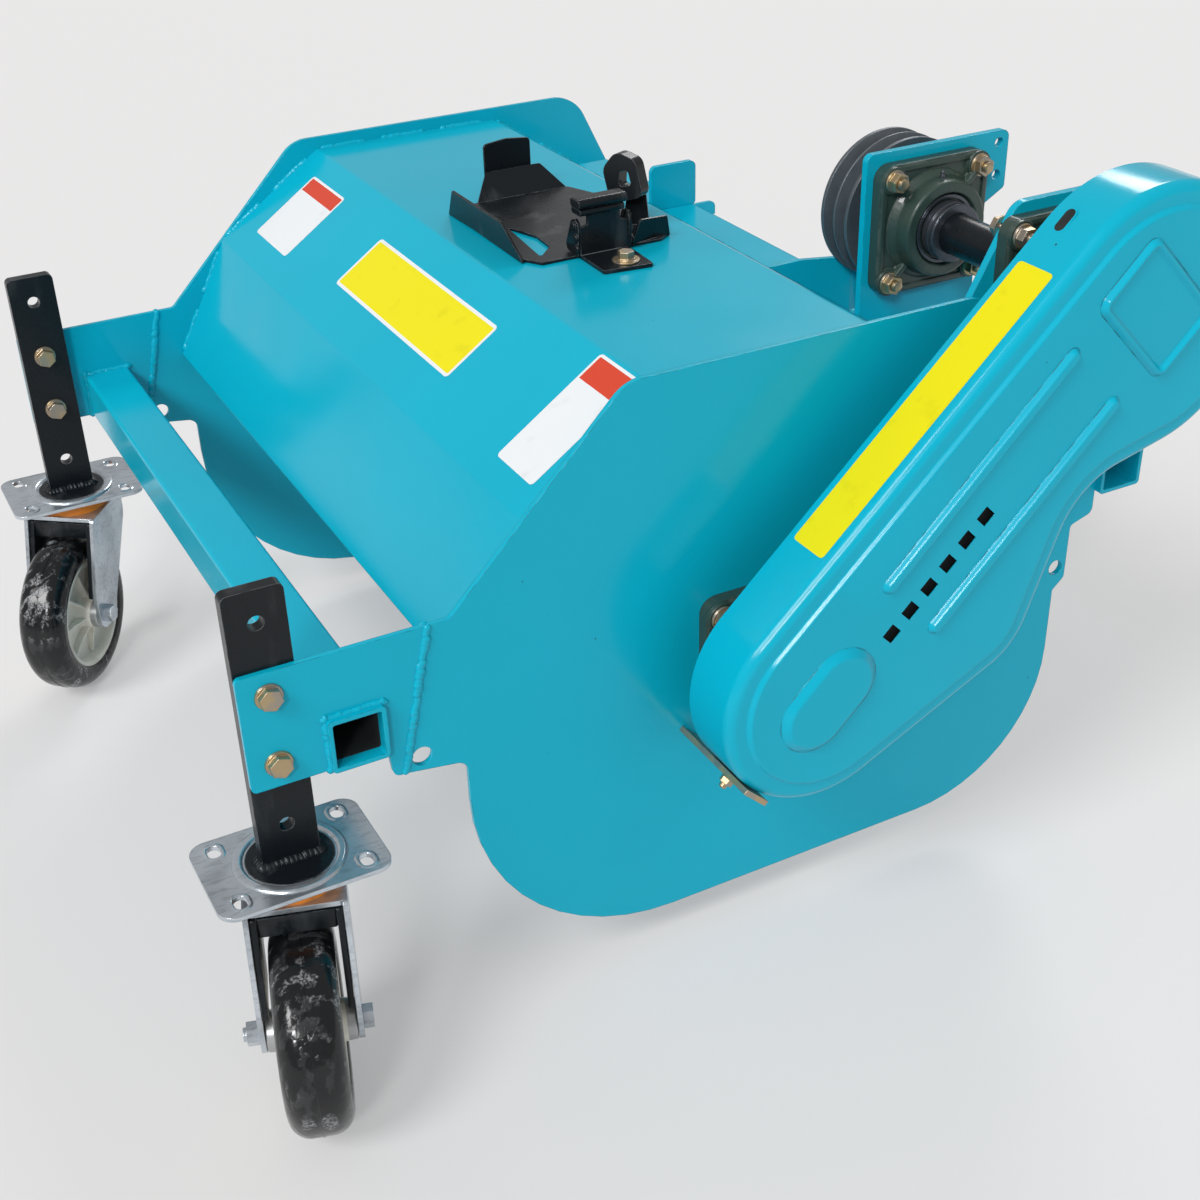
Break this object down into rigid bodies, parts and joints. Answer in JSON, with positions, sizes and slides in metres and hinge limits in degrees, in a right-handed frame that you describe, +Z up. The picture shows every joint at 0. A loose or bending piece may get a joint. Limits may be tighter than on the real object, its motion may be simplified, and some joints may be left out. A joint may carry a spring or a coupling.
{
  "type": "flail mower",
  "caption": "Welded flail mower deck on swivel casters, with a rotor of free-swinging Y flails driven by V-belts under a pressed belt cover from a jackshaft on flange bearings.",
  "frame": {"origin": "middle of the outline seen from above, on the ground the casters stand on", "axes": "+Z up, -Y to the front where the casters are, +X to the side with the belt cover"},
  "size_m": [0.9875, 1.0022, 0.698],
  "materials": {
    "teal_paint": "glossy sprayed enamel over welded sheet, slightly wavy",
    "black_paint": "satin black paint",
    "yellow_zinc": "yellow zinc plated fasteners",
    "white_zinc": "bright blue-white zinc plate",
    "bearing_iron": "dark green painted cast iron",
    "steel": "plain machined steel",
    "dark_steel": "dark forged or cast steel",
    "belt_rubber": "black rubber V-belt",
    "tyre_rubber": "solid black rubber, scuffed",
    "cream_core": "cream moulded wheel core",
    "orange_seal": "orange swivel seal"
  },
  "bodies": {
    "deck": {"side_plate_right": "teal_paint", "side_plate_left": "teal_paint", "front_arm_right": "teal_paint", "front_arm_left": "teal_paint", "deck_shroud": "teal_paint", "front_cross_tube": "teal_paint", "rear_cross_tube": "teal_paint", "rear_flange_bar": "teal_paint", "hitch_lug": "teal_paint", "hitch_side_plate": "teal_paint", "bearing_plate_inner": "teal_paint", "bearing_plate_outer": "teal_paint", "belt_cover": "teal_paint", "caster_leg_right": "black_paint", "caster_leg_left": "black_paint", "holder_tray": "black_paint", "holder_foot": "black_paint", "leg_bolts": "yellow_zinc", "leg_nuts": "yellow_zinc", "bearing_bolts": "yellow_zinc", "cover_brackets": "yellow_zinc", "cover_bolts": "yellow_zinc", "holder_bolts": "yellow_zinc", "caster_plate_right": "white_zinc", "caster_plate_left": "white_zinc", "rotor_bearing_right": "bearing_iron", "rotor_bearing_left": "bearing_iron", "jackshaft_bearing_inner": "bearing_iron", "jackshaft_bearing_outer": "bearing_iron", "drive_belts": "belt_rubber"},
    "rotor": {"rotor_tube": "teal_paint", "rotor_stub_shafts": "steel", "flail_lugs": "dark_steel", "flail_pins": "dark_steel", "rotor_bearing_rings": "steel", "driven_pulley": "dark_steel"},
    "jackshaft": {"jackshaft": "black_paint", "jackshaft_rings": "steel", "input_pulley": "dark_steel", "drive_pulley": "dark_steel"},
    "caster_right": {"caster_fork_right": "white_zinc", "swivel_seal_right": "orange_seal", "caster_axle_right": "white_zinc"},
    "caster_left": {"caster_fork_left": "white_zinc", "swivel_seal_left": "orange_seal", "caster_axle_left": "white_zinc"},
    "wheel_right": {"wheel_core_right": "cream_core", "wheel_tyre_right": "tyre_rubber"},
    "wheel_left": {"wheel_core_left": "cream_core", "wheel_tyre_left": "tyre_rubber"},
    "flail_set_1": {"flail_1": "dark_steel"},
    "flail_set_2": {"flail_2": "dark_steel"},
    "flail_set_3": {"flail_3": "dark_steel"},
    "flail_set_4": {"flail_4": "dark_steel"},
    "flail_set_5": {"flail_5": "dark_steel"},
    "flail_set_6": {"flail_6": "dark_steel"},
    "flail_set_7": {"flail_7": "dark_steel"},
    "flail_set_8": {"flail_8": "dark_steel"}
  },
  "joints": [
    {"name": "rotor_spin", "type": "hinge", "parent": "deck", "child": "rotor", "pos_m": [-0.0389, 0.0555, 0.301], "axis": [1, 0, 0], "continuous": true},
    {"name": "jackshaft_spin", "type": "hinge", "parent": "deck", "child": "jackshaft", "pos_m": [0.2111, 0.3795, 0.576], "axis": [1, 0, 0], "continuous": true},
    {"name": "flail_1_swing", "type": "hinge", "parent": "rotor", "child": "flail_set_1", "pos_m": [-0.3399, 0.11772, 0.36323], "axis": [1, 0, 0], "range_deg": [-3, 273]},
    {"name": "flail_2_swing", "type": "hinge", "parent": "rotor", "child": "flail_set_2", "pos_m": [-0.2539, -0.00673, 0.23877], "axis": [1, 0, 0], "range_deg": [-183, 93]},
    {"name": "flail_3_swing", "type": "hinge", "parent": "rotor", "child": "flail_set_3", "pos_m": [-0.1679, -0.00673, 0.36323], "axis": [1, 0, 0], "range_deg": [-273, 3]},
    {"name": "flail_4_swing", "type": "hinge", "parent": "rotor", "child": "flail_set_4", "pos_m": [-0.0819, 0.11772, 0.23877], "axis": [1, 0, 0], "range_deg": [-93, 183]},
    {"name": "flail_5_swing", "type": "hinge", "parent": "rotor", "child": "flail_set_5", "pos_m": [0.0041, 0.11772, 0.36323], "axis": [1, 0, 0], "range_deg": [-3, 273]},
    {"name": "flail_6_swing", "type": "hinge", "parent": "rotor", "child": "flail_set_6", "pos_m": [0.0901, -0.00673, 0.23877], "axis": [1, 0, 0], "range_deg": [-183, 93]},
    {"name": "flail_7_swing", "type": "hinge", "parent": "rotor", "child": "flail_set_7", "pos_m": [0.1761, -0.00673, 0.36323], "axis": [1, 0, 0], "range_deg": [-273, 3]},
    {"name": "flail_8_swing", "type": "hinge", "parent": "rotor", "child": "flail_set_8", "pos_m": [0.2621, 0.11772, 0.23877], "axis": [1, 0, 0], "range_deg": [-93, 183]},
    {"name": "caster_right_swivel", "type": "hinge", "parent": "deck", "child": "caster_right", "pos_m": [0.3501, -0.3965, 0.223], "axis": [0, 0, 1], "continuous": true},
    {"name": "wheel_right_spin", "type": "hinge", "parent": "caster_right", "child": "wheel_right", "pos_m": [0.40174, -0.41229, 0.0925], "axis": [0.2924, 0.9563, 0], "continuous": true},
    {"name": "caster_left_swivel", "type": "hinge", "parent": "deck", "child": "caster_left", "pos_m": [-0.4279, -0.3965, 0.223], "axis": [0, 0, 1], "continuous": true},
    {"name": "wheel_left_spin", "type": "hinge", "parent": "caster_left", "child": "wheel_left", "pos_m": [-0.38535, -0.42975, 0.0925], "axis": [0.6157, 0.788, 0], "continuous": true}
  ],
  "couplings": [
    {"joint": "jackshaft_spin", "follows": "rotor_spin", "ratio": 0.74359}
  ]
}
